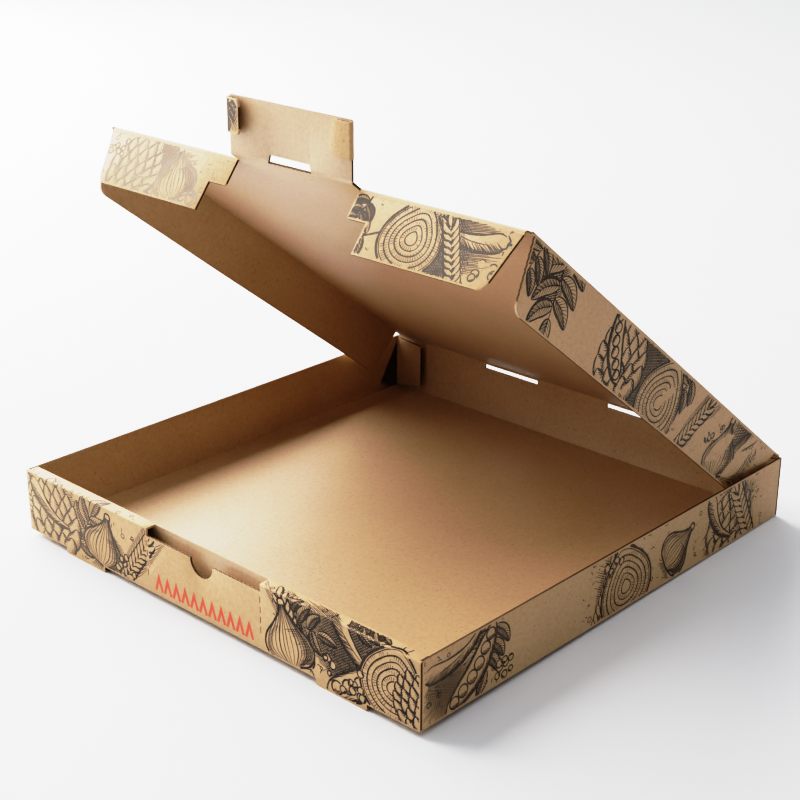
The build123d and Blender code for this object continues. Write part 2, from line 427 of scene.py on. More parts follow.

# %% [markdown]
# ## Fold creases
#
# The boards of the lid meet at scored creases: the die presses a line, and the paper runs on round
# the fold without a break. The solids stop just short of each fold, so a strip of board is made for
# it. A filled circle is shaped to the section of the fold and extruded along the crease.

# %% Section of a fold
grip, overlay = 1.6 * mm, 0.04 * mm
fold_steps = 7


def fold_section(at, first, second, outside_first, outside_second, outer, inner, bulge):
    """Points round a fold: out along one board, round its outside, and back along the inside.

    first and second point from the fold into the two boards, outer and inner are how far the faces
    of the boards lie from the fold's axis, and bulge flattens the bend."""
    points = [at + first * grip + outside_first * outer]
    outward = -(first + second).normalized()
    opening = outside_first.angle(outside_second)
    side = (outside_second - outside_first * outside_first.dot(outside_second))
    side = side.normalized() if side.length > 0.01 else outward
    for step in range(fold_steps + 1):
        a = opening * step / fold_steps
        arm = (outside_first * math.cos(a) + side * math.sin(a)) * outer
        points.append(at + arm + outward * arm.dot(outward) * (bulge - 1))
    points.append(at + second * grip + outside_second * outer)
    points.append(at + second * grip + outside_second * inner)
    middle = outside_first + outside_second
    if middle.length > 0.3:
        middle.normalize()
        points.append(at + middle * inner / max(middle.dot(outside_first), 0.3))
    points.append(at + first * grip + outside_first * inner)
    return points


# %% Strip along a crease
def crease(name, section, start, along, paper=liner_outside):
    """A strip of board with a given section, from start for the length of along."""
    bpy.ops.object.select_all(action="DESELECT")
    bpy.ops.mesh.primitive_circle_add(vertices=len(section), radius=grip, fill_type="NGON")
    strip = bpy.context.active_object
    strip.name = name
    for vertex, spot in zip(strip.data.vertices, section):
        vertex.co = spot + start
    bpy.ops.object.mode_set(mode="EDIT")
    bpy.ops.mesh.select_all(action="SELECT")
    bpy.ops.mesh.extrude_region_move(TRANSFORM_OT_translate={"value": along})
    cuts = int(along.length / (26 * mm))
    for cut in range(1, cuts):
        bpy.ops.mesh.select_all(action="SELECT")
        bpy.ops.mesh.bisect(plane_co=section[0] + start + along * cut / cuts, plane_no=along.normalized())
    bpy.ops.mesh.select_all(action="SELECT")
    bpy.ops.mesh.normals_make_consistent(inside=False)
    bpy.ops.object.mode_set(mode="OBJECT")
    uv = strip.data.uv_layers.new(name="board") if not strip.data.uv_layers else strip.data.uv_layers[0]
    uv.name = "board"
    for loop in strip.data.loops:
        spot = strip.data.vertices[loop.vertex_index].co
        uv.data[loop.index].uv = (spot.x, spot.y + spot.z)
    for vertex in strip.data.vertices:
        vertex.co = warp(vertex.co)
    strip.data.materials.append(paper)
    bpy.ops.object.shade_smooth_by_angle(angle=math.radians(40))
    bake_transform(strip)
    print(name, len(strip.data.polygons), "faces,", round(along.length / mm, 1), "mm long")
    return strip


# %% Creases of the lid, the flaps, the tab and its ears
x_way, y_way, z_way = Vector((1, 0, 0)), Vector((0, 1, 0)), Vector((0, 0, 1))
half = board / 2 + overlay
open_lid = close_lid.inverted()
lid_turn = open_lid.to_3x3()
to_hinge, to_front, lid_up = lid_turn @ y_way, lid_turn @ -y_way, lid_turn @ z_way

hinge = fold_at["lid_hinge"]
section = fold_section(hinge, -z_way, to_front, y_way, lid_up, half, -half, 1.0)
crease("lid_hinge_crease", section, x_way * -164.4 * mm, x_way * 328.8 * mm)

for side, node in ((-1, "front_flap_left"), (1, "front_flap_right")):
    at = fold_at[node + "_fold"]
    flap_down = lid_turn @ -z_way
    section = fold_section(at, to_hinge, flap_down, lid_up, to_front, board + overlay, -overlay, 0.9)
    crease(node + "_crease", section, x_way * side * 48.2 * mm, x_way * side * 111.7 * mm)

at = fold_at["lock_tab_fold"]
for side, name in ((-1, "left"), (1, "right")):
    section = fold_section(at, to_hinge, z_way, -lid_up, -y_way, half, -half, 1.0)
    crease("lock_tab_crease_" + name, section, x_way * side * 17.0 * mm, x_way * side * 30.5 * mm,
           liner_inside)

ear_gap = 0.15 * mm
ear_height, ear_rise = 20.1 * mm, 260.77 * mm
for side, node, fold in ((-1, "lock_ear_left", ear_left_fold), (1, "lock_ear_right", ear_right_fold)):
    at = fold_at[node + "_fold"]
    into_tab = x_way * -side
    into_ear = Matrix.Rotation(math.radians(-side * (180 - fold)), 3, "Z") @ into_tab
    ear_face = Matrix.Rotation(math.radians(-side * (180 - fold)), 3, "Z") @ -y_way
    section = fold_section(at, into_tab, into_ear, y_way, ear_face, board + ear_gap + overlay, ear_gap / 2, 0.5)
    crease(node + "_crease", section, z_way * (ear_rise - at.z), z_way * ear_height)

# %% [markdown]
# ## Printing ink
#
# The outside is printed in one dark brown ink, as bold kitchen-garden line drawings, and one red.
# Ink on rough paper is not solid: fibres show through as pinholes, and it is thinner in patches. In
# places it is worn pale, and near the light it is paled further as painted glare. An attribute on
# the printed lines says how far wear and painted glare take them towards the paper.

# %% Ink materials
def ink(name, solid, thin, paper):
    """Ink with pinholes; an attribute takes it towards the paper, for wear and for painted glare."""
    material, tree, shader = new_material(name)
    spot = put(tree, "TexCoord").outputs["Object"]
    coat = grain(tree, spot, 260, 4, 0.35, 0.75)
    holes = grain(tree, spot, 1500, 2, 0.62, 0.72)
    wear_and_glare = put(tree, "Attribute", attribute_name="wear_and_glare").outputs["Fac"]
    colour = blend_colour(tree, coat, solid, thin)
    colour = blend_colour(tree, calc(tree, "MULTIPLY", holes, 0.55), colour, paper)
    # This blend paints both wear and painted glare: the attribute takes the ink towards the paper colour.
    colour = blend_colour(tree, wear_and_glare, colour, paper)
    tree.links.new(colour, shader.inputs["Base Color"])
    gloss = put(tree, "MapRange", {0: coat, 3: 0.5, 4: 0.66}).outputs[0]
    tree.links.new(gloss, shader.inputs["Roughness"])
    bump = put(tree, "Bump", {"Strength": 0.3, "Distance": 0.00004, "Height": coat})
    tree.links.new(bump.outputs[0], shader.inputs["Normal"])
    shader.inputs["Specular IOR Level"].default_value = 0.3
    return material


bare_paper = (0.50, 0.38, 0.27, 1)
brown_ink = ink("brown_print_ink", (0.016, 0.012, 0.010, 1), (0.050, 0.034, 0.024, 1), bare_paper)
red_ink = ink("red_print_ink", (0.66, 0.045, 0.018, 1), (0.78, 0.10, 0.04, 1), bare_paper)
print("ink materials:", brown_ink.name, red_ink.name)

# %% [markdown]
# ## Drawing with a pen
#
# A drawing is a list of pen strokes on a flat sheet, in millimetres. Each stroke is a smooth line
# through a few points, with a width that swells and tapers as an engraver's line does. No operator
# lays thousands of such strokes, so they are worked out in code. A nearer form hides what was
# drawn behind it: its outline masks the earlier strokes.

# %% Pen strokes
pen_step, pen_weight = 0.9, 1.05


def flow(points, closed=False, pace=pen_step):
    """A smooth line through points, in short steps."""
    ends = points[-1:] + points + points[:2] if closed else points[:1] + points + points[-1:]
    line = []
    for a, b, c, d in zip(ends, ends[1:], ends[2:], ends[3:]):
        steps = max(2, round(math.dist(b, c) / pace))
        for step in range(steps):
            t = step / steps
            weights = (-t + 2 * t**2 - t**3, 2 - 5 * t**2 + 3 * t**3, t + 4 * t**2 - 3 * t**3, t**3 - t**2)
            line.append(tuple(sum(w * p[i] for w, p in zip(weights, (a, b, c, d))) / 2 for i in (0, 1)))
    return line + [line[0] if closed else points[-1]]


def within(spot, outline):
    """Whether a spot lies inside a closed outline."""
    x, y = spot
    inside = False
    for (ax, ay), (bx, by) in zip(outline, outline[1:] + outline[:1]):
        if (ay > y) != (by > y) and x < (bx - ax) * (y - ay) / (by - ay) + ax:
            inside = not inside
    return inside


class Drawing:
    """Pen strokes on a flat sheet; motifs are drawn in their own frame, set by at()."""

    def __init__(self, seed):
        self.strokes = []
        self.chance = random.Random(seed)
        self.at(0, 0, 0, 1)

    def at(self, x, y, degrees, size):
        turned = math.radians(degrees)
        self.frame = (x, y, math.cos(turned) * size, math.sin(turned) * size)

    def out(self, points):
        x, y, c, s = self.frame
        return [(x + px * c - py * s, y + px * s + py * c) for px, py in points]

    def line(self, points, width, ends="both", closed=False):
        path = flow(self.out(points), closed)
        last = len(path) - 1
        swell = {"both": lambda t: 0.3 + 0.7 * math.sin(math.pi * t) ** 0.6,
                 "tip": lambda t: 1.0 - 0.6 * t, "none": lambda t: 1.0}[ends]
        waver = self.chance.uniform(0, 50)
        widths = [width * pen_weight * swell(i / last) * (1 + 0.22 * noise.noise((waver, i * 0.3, 0)))
                  for i in range(last + 1)]
        self.strokes.append((path, widths))

    def mask(self, points, closed=True):
        outline = flow(self.out(points), closed)
        low = [min(p[i] for p in outline) for i in (0, 1)]
        high = [max(p[i] for p in outline) for i in (0, 1)]
        kept = []
        for path, widths in self.strokes:
            run = []
            for p, w in zip(path, widths):
                boxed = low[0] < p[0] < high[0] and low[1] < p[1] < high[1]
                if boxed and within(p, outline):
                    kept.append(run)
                    run = []
                else:
                    run.append((p, w))
            kept.append(run)
        self.strokes = [tuple(zip(*run)) for run in kept if len(run) > 1]


# %% A swelling form with engraved shading
def form(drawing, spine, girth, outline, hatches=0, reach=0.7, both=False, shade=0.65):
    """A body along a spine: its outline, and hatching that follows its roundness."""
    samples = 26
    path = flow(spine, pace=0.008)
    middle = [path[round(i * (len(path) - 1) / samples)] for i in range(samples + 1)]

    def edge(t, side):
        place = t * samples
        i = min(int(place), samples - 1)
        share = place - i
        (ax, ay), (bx, by) = middle[i], middle[i + 1]
        length = math.hypot(bx - ax, by - ay) or 1.0
        half = girth(t) * side
        return (ax + (bx - ax) * share - (by - ay) / length * half,
                ay + (by - ay) * share + (bx - ax) / length * half)

    marks = [i / 12 for i in range(13)]
    left, right = [edge(t, 1) for t in marks], [edge(t, -1) for t in marks]
    drawing.mask(left + right[::-1])
    drawing.line(left, outline)
    drawing.line(right, outline * 1.7)
    for i in range(hatches):
        t = (i + 0.5) / hatches
        depth = reach * (0.55 + 0.45 * drawing.chance.random())
        lean = 0.05
        for side in (-1, 1) if both else (-1,):
            inner = 1 - depth * (1 if side < 0 else 0.6)
            drawing.line([edge(t, side), edge(min(t + lean, 1), side * (1 + inner) / 2),
                          edge(min(t + 2 * lean, 1), side * inner)], shade, "tip")
    return edge


# %% [markdown]
# ## Kitchen-garden motifs
#
# Each motif is a small recipe of forms and lines in a frame about one unit high: garlic, wheat,
# a chilli, a cut onion, a sprig, a pea pod and an artichoke. Drawn large and cropped by the edges
# of the board, they give the print its dense, dark look.

# %% Motifs
def garlic(drawing, x, y, degrees, size):
    drawing.at(x, y, degrees, size)
    right = [(0.06, 1.02), (0.08, 0.84), (0.24, 0.66), (0.45, 0.46), (0.51, 0.25), (0.38, 0.06), (0.12, 0.0)]
    whole = right + [(-px, py) for px, py in reversed(right)]
    for k in range(-5, 6):
        drawing.line([(k * 0.03, 0.03), (k * 0.035, -0.06), (k * 0.05, -0.13)], 0.7, "tip")
    drawing.mask(whole)
    drawing.line(whole, 1.25, "none", True)
    for k in (-0.86, -0.72, -0.55, -0.38, -0.2, -0.06, 0.14, 0.34, 0.48, 0.6, 0.7, 0.78, 0.86, 0.93):
        weight = 0.9 if k in (-0.38, 0.34, 0.7) else 0.5
        drawing.line([(0.05 * k, 0.95), (0.25 * k, 0.68), (0.47 * k, 0.44), (0.49 * k, 0.22), (0.2 * k, 0.02)], weight)
    for i in range(24):
        h = 0.09 + 0.022 * i
        rim = 0.47 - 2.2 * (h - 0.26) ** 2
        deep = 0.16 + 0.1 * drawing.chance.random()
        drawing.line([(rim, h), (rim - deep / 2, h - 0.012), (rim - deep, h - 0.03)], 0.55, "tip")
        drawing.line([(-rim, h), (-rim + 0.08, h - 0.01)], 0.45, "tip")


def wheat(drawing, x, y, degrees, size):
    drawing.at(x, y, degrees, size)
    drawing.line([(0.02, -0.6), (0.0, -0.2), (0.0, 0.3)], 0.9, "none")
    for row in range(9):
        h = 0.02 + row * 0.1
        for side in (-1, 1):
            root, tip = (side * 0.01, h), (side * 0.10, h + 0.17)
            drawing.line([tip, (side * 0.16, h + 0.34), (side * 0.2, h + 0.56)], 0.45, "tip")
            form(drawing, [root, (side * 0.075, h + 0.07), tip],
                 lambda t: 0.042 * math.sin(math.pi * min(t * 0.9 + 0.08, 1)) ** 0.7, 0.8, 4, 0.9, shade=0.45)
    form(drawing, [(0, 0.9), (0.01, 1.0), (0, 1.12)], lambda t: 0.04 * math.sin(math.pi * t) ** 0.7, 0.8, 4)


def chilli(drawing, x, y, degrees, size, bow=0.18):
    drawing.at(x, y, degrees, size)
    spine = [(0, 0), (bow * 0.8, 0.35), (bow, 0.7), (bow * 0.35, 1.05)]
    form(drawing, spine, lambda t: 0.13 * (1 - t) ** 0.65 * min(1, 0.55 + 4 * t) + 0.004, 1.2, 54, 1.25, shade=0.6)
    drawing.line([(bow * 0.62, 0.2), (bow * 0.86, 0.45), (bow * 0.86, 0.68)], 0.6)
    drawing.line([(-0.09, 0.02), (-0.04, -0.05), (0, -0.04), (0.05, -0.05), (0.09, 0.02)], 1.2)
    drawing.line([(0, -0.04), (-0.03, -0.14), (-0.1, -0.22)], 1.6, "tip")


def onion(drawing, x, y, degrees, size):
    drawing.at(x, y, degrees, size)

    def ring(r):
        return [(r * 0.52 * math.cos(a) * (1 - 0.12 * math.sin(a)), 0.5 + r * 0.5 * math.sin(a)
                 + 0.1 * r * max(0, math.sin(a)) ** 6) for a in (i * math.pi / 8 for i in range(16))]

    drawing.line([(-0.03, 1.05), (-0.07, 1.2), (-0.16, 1.3)], 0.9, "tip")
    drawing.line([(0.03, 1.05), (0.05, 1.2), (0.0, 1.33)], 0.9, "tip")
    drawing.mask(ring(1.0))
    for r, width in ((1.0, 1.5), (0.93, 0.6), (0.78, 0.95), (0.63, 0.7), (0.48, 0.9), (0.33, 0.65), (0.18, 0.8)):
        drawing.line(ring(r), width, "none", True)
    for outer, inner, count, turn_by in ((0.92, 0.80, 80, 0.0), (0.77, 0.70, 60, 0.0), (0.62, 0.51, 52, 0.1),
                                         (0.47, 0.41, 34, 0.0), (0.32, 0.22, 26, 0.0)):
        for i in range(count):
            a = 2 * math.pi * i / count + turn_by
            if drawing.chance.random() < 0.2:
                continue
            ends = [(r * 0.52 * math.cos(a), 0.5 + r * 0.5 * math.sin(a)) for r in (outer, inner)]
            drawing.line(ends, 0.45, "tip")


def leaf(drawing, root, tip, bow, girth, veins=9):
    (ax, ay), (bx, by) = root, tip
    side = (-(by - ay) * bow, (bx - ax) * bow)
    spine = [root, ((ax + bx) / 2 + side[0], (ay + by) / 2 + side[1]), tip]
    edge = form(drawing, spine, lambda t: girth * math.sin(math.pi * t**0.8) ** 0.85, 1.0)
    drawing.line(spine, 0.9, "tip")
    for i in range(veins):
        t = 0.1 + 0.8 * i / veins
        for sign, share in ((1, 0.82), (-1, 0.95)):
            drawing.line([edge(t, 0), edge(t + 0.08, sign * share * 0.6), edge(min(t + 0.13, 1), sign * share)], 0.55, "tip")
        for nudge in (0.03, 0.06):
            drawing.line([edge(t + nudge, -0.12), edge(min(t + nudge + 0.1, 1), -0.9)], 0.45, "tip")


def sprig(drawing, x, y, degrees, size, pairs=4):
    drawing.at(x, y, degrees, size)
    drawing.line([(0, -0.25), (0.02, 0.3), (-0.02, 0.8)], 1.3, "tip")
    for i in range(pairs):
        h = 0.02 + 0.72 * i / pairs
        reach = 0.46 - 0.05 * i
        leaf(drawing, (0, h), (-reach, h + 0.26), 0.12, 0.10)
        leaf(drawing, (0, h + 0.08), (reach, h + 0.36), -0.12, 0.10)
    leaf(drawing, (-0.01, 0.72), (0.02, 1.2), 0.06, 0.10)


def pod(drawing, x, y, degrees, size):
    drawing.at(x, y, degrees, size)
    spine = [(0, 0), (0.1, 0.5), (0, 1.0)]
    edge = form(drawing, spine, lambda t: 0.15 * math.sin(math.pi * t) ** 0.6, 1.3, 52, 0.4, True, 0.5)
    for i in range(6):
        cx, cy = edge(0.16 + 0.136 * i, 0)
        r = 0.075 - 0.004 * abs(i - 2.5)
        pea = [(cx + r * math.cos(a), cy + r * math.sin(a)) for a in (k * math.pi / 4 for k in range(8))]
        drawing.mask(pea)
        drawing.line(pea, 1.0, "none", True)
        for k in range(8):
            a = -1.5 + 0.24 * k
            drawing.line([(cx + r * math.cos(a), cy + r * math.sin(a)),
                          (cx + r * 0.4 * math.cos(a), cy + r * 0.4 * math.sin(a))], 0.55, "tip")
    drawing.line([(0, 0), (-0.03, -0.1), (-0.1, -0.17)], 1.5, "tip")


def artichoke(drawing, x, y, degrees, size):
    drawing.at(x, y, degrees, size)
    form(drawing, [(0, -0.45), (0.01, -0.2), (0, 0.02)], lambda t: 0.07, 1.1, 12, 1.0)
    rows = ((0.62, 3, 0.20, 0.42), (0.46, 4, 0.34, 0.44), (0.30, 5, 0.45, 0.44), (0.15, 6, 0.5, 0.42),
            (0.02, 5, 0.46, 0.36), (-0.06, 4, 0.3, 0.26))
    for h, count, spread, length in rows:
        for i in range(count):
            k = -1 + 2 * i / (count - 1)
            foot = (spread * k * 0.55, h)
            tip = (spread * k * 1.05, h + length * (1 - 0.22 * abs(k)))
            form(drawing, [foot, ((foot[0] + tip[0]) / 2 + 0.05 * k, (foot[1] + tip[1]) / 2), tip],
                 lambda t: 0.13 * math.sin(math.pi * (0.22 + 0.78 * t)) ** 0.8, 0.95, 12, 0.85, True, 0.8)


def pepper_dots(drawing, x, y, spread, count):
    """Loose peppercorns: small rings with a dark side."""
    for _ in range(count):
        px, py = x + drawing.chance.uniform(-1, 1) * spread, y + drawing.chance.uniform(-1, 1) * spread * 0.6
        drawing.at(px, py, drawing.chance.uniform(0, 360), drawing.chance.uniform(1.6, 2.6))
        bead = [(math.cos(a), math.sin(a)) for a in (k * math.pi / 3 for k in range(6))]
        drawing.mask(bead)
        drawing.line(bead, 0.8, "none", True)
        drawing.line([(0.5, -0.5), (0.65, 0), (0.4, 0.5)], 0.8)


def crumbs(drawing, x, y, wide, tall, count):
    """A scatter of short dashes and small rings between the forms."""
    for _ in range(count):
        px, py = (drawing.chance.uniform(-0.5, 0.5) * reach for reach in (wide, tall))
        drawing.at(x + px, y + py, drawing.chance.uniform(0, 360), drawing.chance.uniform(0.8, 1.7))
        if drawing.chance.random() < 0.25:
            drawing.line([(math.cos(k * math.pi / 3), math.sin(k * math.pi / 3)) for k in range(6)], 0.5, "none", True)
        else:
            drawing.line([(-1, 0), (0, 0.25), (1, 0)], 0.65)


def ground(drawing, x, y, wide, tall, degrees, rows):
    """A patch of slanting strokes crossed by shorter ones, as a shadow behind the forms."""
    for layer, (slant, share, weight) in enumerate(((0, 1.0, 0.62), (52, 0.62, 0.5))):
        drawing.at(x, y, degrees + slant, 1)
        count = round(rows * (1.6 - 0.5 * layer))
        for i in range(count):
            h = tall * (i / (count - 1) - 0.5)
            width = math.sqrt(max(0.05, 1 - (2 * h / tall) ** 2)) * drawing.chance.uniform(0.75, 1.05)
            half = wide * 0.5 * share * width
            drawing.line([(-half, h), (-half * 0.3, h + 0.5), (half * 0.4, h - 0.4), (half, h + 0.3)], weight)


print("motifs:", [m.__name__ for m in (garlic, wheat, chilli, onion, sprig, pod, artichoke, crumbs)])

# %% [markdown]
# ## Laying the print on the board
#
# A drawing becomes a very thin layer of ink on the paper. Each stroke is a ribbon of small faces,
# laid on the board by a function that knows the panel, so that it follows the warp and turns over
# the front edge with the sheet. What would fall off the panel's cut outline is left out.

# %% From strokes to ink
ink_lift, stroke_lift, stroke_layers = 0.055 * mm, 0.0006 * mm, 32


def lay_ink(name, drawing, place, on_board, body, material, wear_and_glare):
    """A ribbon of ink for each stroke of a drawing, laid by place() where on_board() allows."""
    spots, faces, wear = [], [], []
    for order, (path, widths) in enumerate(drawing.strokes):
        before = None
        lift = ink_lift + stroke_lift * (order % stroke_layers)
        for i, (spot, width) in enumerate(zip(path, widths)):
            a, b = path[max(i - 1, 0)], path[min(i + 1, len(path) - 1)]
            along = math.dist(a, b) or 1.0
            nx, ny = -(b[1] - a[1]) / along * width / 2, (b[0] - a[0]) / along * width / 2
            sides = [(spot[0] + nx, spot[1] + ny), (spot[0] - nx, spot[1] - ny)]
            if not all(on_board(*s) for s in sides):
                before = None
                continue
            first = len(spots)
            for side in sides:
                surface, normal = place(*side)
                spots.append(warp(surface) + normal * lift)
                wear.append(wear_and_glare(*spot))
            if before is not None:
                faces.append((before, before + 1, first + 1, first))
            before = first
    mesh = bpy.data.meshes.new(name)
    mesh.from_pydata(spots, [], faces)
    mesh.attributes.new("wear_and_glare", "FLOAT", "POINT").data.foreach_set("value", wear)
    mesh.materials.append(material)
    piece = bpy.data.objects.new(name, mesh)
    bpy.context.collection.objects.link(piece)
    surface, normal = place(*drawing.strokes[0][0][0])
    only(piece)
    bpy.ops.object.mode_set(mode="EDIT")
    bpy.ops.mesh.select_all(action="SELECT")
    if mesh.polygons[0].normal.dot(normal) < 0:
        bpy.ops.mesh.flip_normals()
    bpy.ops.mesh.delete_loose()
    bpy.ops.object.mode_set(mode="OBJECT")
    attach(piece, body)
    print(name, len(drawing.strokes), "strokes,", len(faces), "faces")
    return piece


# %% [markdown]
# ## Front wall
#
# The front carries two crowded groups, one at each end, and in the middle a bare field with a row
# of red arrow heads that show where to lift. The print runs over the fold on to the top strip.
# The left group is paled towards the paper as painted glare from the light side of the room.

# %% Front wall print
half_width, half_depth, tray_height = 166.5, 170.0, 41.0
bend, strip_width, strip_half_width = 1.1, 8.4, 164.7
pocket_half, pocket_edge, notch_radius = 48.6, 36.0, 9.6
margin = 0.6
turn_start = tray_height - bend
turn_length = bend * math.pi / 2


def on_front(u, v):
    """The front wall, its feet and the top strip, without the pocket."""
    if abs(u) < pocket_half + margin:
        clear = math.hypot(u, v - pocket_edge) > notch_radius + margin
        slit = abs(abs(u) - pocket_half) < 1.0 and v > 8
        return margin < v < pocket_edge - margin and clear and not slit
    foot = 92 < abs(u) < 128
    if v <= turn_start:
        return (v > -3.0 if foot else v > margin) and abs(u) < half_width - margin
    return v < turn_start + turn_length + strip_width - 2 * bend - margin and abs(u) < strip_half_width - margin


def place_front(u, v):
    """A spot of the flat sheet on the front wall, round the fold and on the strip."""
    if v <= turn_start:
        return Vector((u, -half_depth, v)) * mm, Vector((0, -1, 0))
    a = min((v - turn_start) / bend, math.pi / 2)
    beyond = max(v - turn_start - turn_length, 0)
    normal = Vector((0, -math.cos(a), math.sin(a)))
    centre = Vector((u, -half_depth + bend, turn_start))
    return (centre + normal * bend + Vector((0, beyond, 0))) * mm, normal


# Painted glare on the front print: paled most at the left end, nearest the light, and not at all from the pocket
# rightwards.
def painted_glare_front(u, v):
    return max(0.0, min(0.4, 0.4 - (u + half_width) / 300)) * (0.8 + 0.3 * noise.noise((u / 14, v / 14, 3)))


front = Drawing(7)
crumbs(front, -112, 22, 104, 46, 90)
ground(front, -134, 20, 62, 40, 12, 24)
ground(front, -84, 10, 40, 28, -20, 16)
wheat(front, -73, -2, -38, 46)
wheat(front, -150, -6, 24, 50)
sprig(front, -118, 6, -34, 42)
artichoke(front, -136, 0, 8, 44)
garlic(front, -94, 1, -14, 36)
chilli(front, -160, 36, -118, 40)
pepper_dots(front, -70, 9, 9, 9)
crumbs(front, 110, 22, 108, 46, 120)
ground(front, 116, 26, 86, 44, -16, 30)
sprig(front, 70, 30, -96, 32, 3)
wheat(front, 88, 4, 34, 46)
garlic(front, 74, 0, 14, 38)
pod(front, 100, -2, -52, 62)
chilli(front, 106, 48, -128, 46)
onion(front, 143, -4, -12, 44)
sprig(front, 120, 44, -70, 26, 3)
artichoke(front, 168, 4, 20, 30)
pepper_dots(front, 112, 9, 14, 14)
lay_ink("front_wall_print", front, place_front, on_front, "tray", brown_ink, painted_glare_front)

# %% Red arrow heads
arrow_half, arrow_tall, arrow_stroke, arrow_pitch = 2.9, 8.6, 1.9, 7.8
mitre = math.hypot(arrow_half, arrow_tall) / arrow_half
arrows = Drawing(3)
for step in range(-5, 6):
    arrows.at(step * arrow_pitch, 3.4, 0, 1)
    head = arrows.out([(-arrow_half, 0), (0, arrow_tall), (arrow_half, 0)])
    arrows.strokes.append((head, [arrow_stroke, arrow_stroke * mitre, arrow_stroke]))
lay_ink("lift_arrows", arrows, place_front, on_front, "tray", red_ink, lambda u, v: 0.12)

# %% [markdown]
# ## Side walls
#
# Each side wall carries three loose groups with bare kraft between them, and the lid's side walls
# carry three more. The left side, which the light reaches last, has the same print turned round.

# %% Tray side walls
wall_reach = 168.2


def on_side(u, v):
    return abs(u) < wall_reach - margin and bend + margin / 2 < v < tray_height - margin


side = Drawing(11)
crumbs(side, -138, 20, 62, 40, 70)
ground(side, -148, 16, 44, 34, 22, 20)
sprig(side, -112, 38, 160, 34, 3)
pod(side, -150, 2, -44, 54)
chilli(side, -166, 30, -70, 44)
pepper_dots(side, -104, 10, 9, 9)
crumbs(side, 6, 20, 84, 42, 80)
ground(side, 2, 20, 62, 40, -30, 20)
wheat(side, -24, -4, -24, 48)
onion(side, 10, -8, 14, 46)
garlic(side, 44, 12, -58, 32)
pepper_dots(side, -10, 30, 9, 7)
crumbs(side, 112, 20, 76, 42, 70)
ground(side, 112, 20, 66, 38, 30, 22)
artichoke(side, 104, 0, -30, 44)
wheat(side, 140, -8, 26, 52)
chilli(side, 90, 40, -140, 40)
for name, sign in (("right_wall_print", 1), ("left_wall_print", -1)):
    lay_ink(name, side, lambda u, v, s=sign: (Vector((s * half_width, s * u, v)) * mm, Vector((s, 0, 0))),
            on_side, "tray", brown_ink, lambda u, v: 0.10 + 0.08 * noise.noise((u / 20, v / 20, 1)))

# %% Lid side walls
lid_half_width, panel_top = 164.5, 42.6
lid_wall_outline = [(162.0, 40.8), (153.0, 8.0), (146.0, 4.8), (-141.0, 4.8), (-147.5, 9.0), (-156.0, 40.8)]


def place_lid_wall(u, v, sign):
    closed = lean_in(Vector((sign * lid_half_width, u, v)) * mm)
    return open_lid @ closed, open_lid.to_3x3() @ Vector((sign, 0, 0))


lid_side = Drawing(19)
ground(lid_side, -130, 32, 36, 26, 40, 14)
sprig(lid_side, -124, 46, -172, 46, 3)
sprig(lid_side, -146, 42, 164, 32, 3)
crumbs(lid_side, -10, 24, 110, 40, 60)
ground(lid_side, -14, 24, 96, 44, 24, 32)
wheat(lid_side, 46, -2, -26, 46)
artichoke(lid_side, -36, 6, 24, 44)
sprig(lid_side, 34, 40, 150, 32, 3)
onion(lid_side, 6, -6, -10, 46)
pod(lid_side, -62, 46, -146, 44)
crumbs(lid_side, 116, 24, 66, 38, 60)
ground(lid_side, 118, 24, 52, 38, -20, 20)
chilli(lid_side, 132, 44, 160, 46)
garlic(lid_side, 104, 4, 12, 36)
pepper_dots(lid_side, 78, 24, 8, 7)
for name, sign in (("lid_right_print", 1), ("lid_left_print", -1)):
    lay_ink(name, lid_side, lambda u, v, s=sign: place_lid_wall(u, v, s),
            lambda u, v: within((u, v), lid_wall_outline), "lid", brown_ink,
            lambda u, v: 0.06 + 0.08 * noise.noise((u / 20, v / 20, 5)))

# %% [markdown]
# ## Front flaps and the left ear
#
# The two front flaps of the lid are printed as well, and so is the left ear of the lock tab. They
# are drawn on the flat sheet in front of the lid and folded with it. The left flap's print is paled
# towards the paper as painted glare from the light side.

# %% Flap and ear print
crease_y = -158.05
flap_outline = [(48.8, 0.9), (159.2, 0.9), (151.6, 30.0), (146.0, 33.8), (62.8, 33.8), (62.8, 15.8), (48.8, 15.8)]


def place_flat(node, x, y):
    """A spot on the outside of a board that lies flat in front of the lid."""
    fold = lay_flat[node].inverted()
    return fold @ (Vector((x, y, panel_top)) * mm), fold.to_3x3() @ Vector((0, 0, 1))


right_flap = Drawing(23)
crumbs(right_flap, 106, 18, 100, 34, 60)
ground(right_flap, 116, 18, 78, 34, 170, 26)
sprig(right_flap, 66, 22, 70, 34, 3)
sprig(right_flap, 58, 4, 20, 22, 3)
onion(right_flap, 92, 38, 190, 40)
chilli(right_flap, 152, 8, 100, 44)
wheat(right_flap, 134, 38, 150, 40)
pepper_dots(right_flap, 150, 24, 9, 8)
left_flap = Drawing(29)
crumbs(left_flap, 106, 18, 100, 34, 60)
ground(left_flap, 112, 18, 74, 34, 10, 26)
artichoke(left_flap, 128, 36, 170, 40)
pod(left_flap, 64, 30, -80, 48)
garlic(left_flap, 84, 32, 200, 32)
pepper_dots(left_flap, 148, 10, 8, 8)
# The left flap's 0.50 is painted glare from the light side; the right flap's 0.10 is wear.
for node, drawing, sign, faded in (("front_flap_right", right_flap, 1, 0.10), ("front_flap_left", left_flap, -1, 0.50)):
    lay_ink(node + "_print", drawing, lambda u, v, n=node, s=sign: place_flat(n, s * u, crease_y - v),
            lambda u, v: within((u, v), flap_outline), node, brown_ink,
            lambda u, v, f=faded: f * (1 + 0.25 * noise.noise((u / 15, v / 15, 2))))

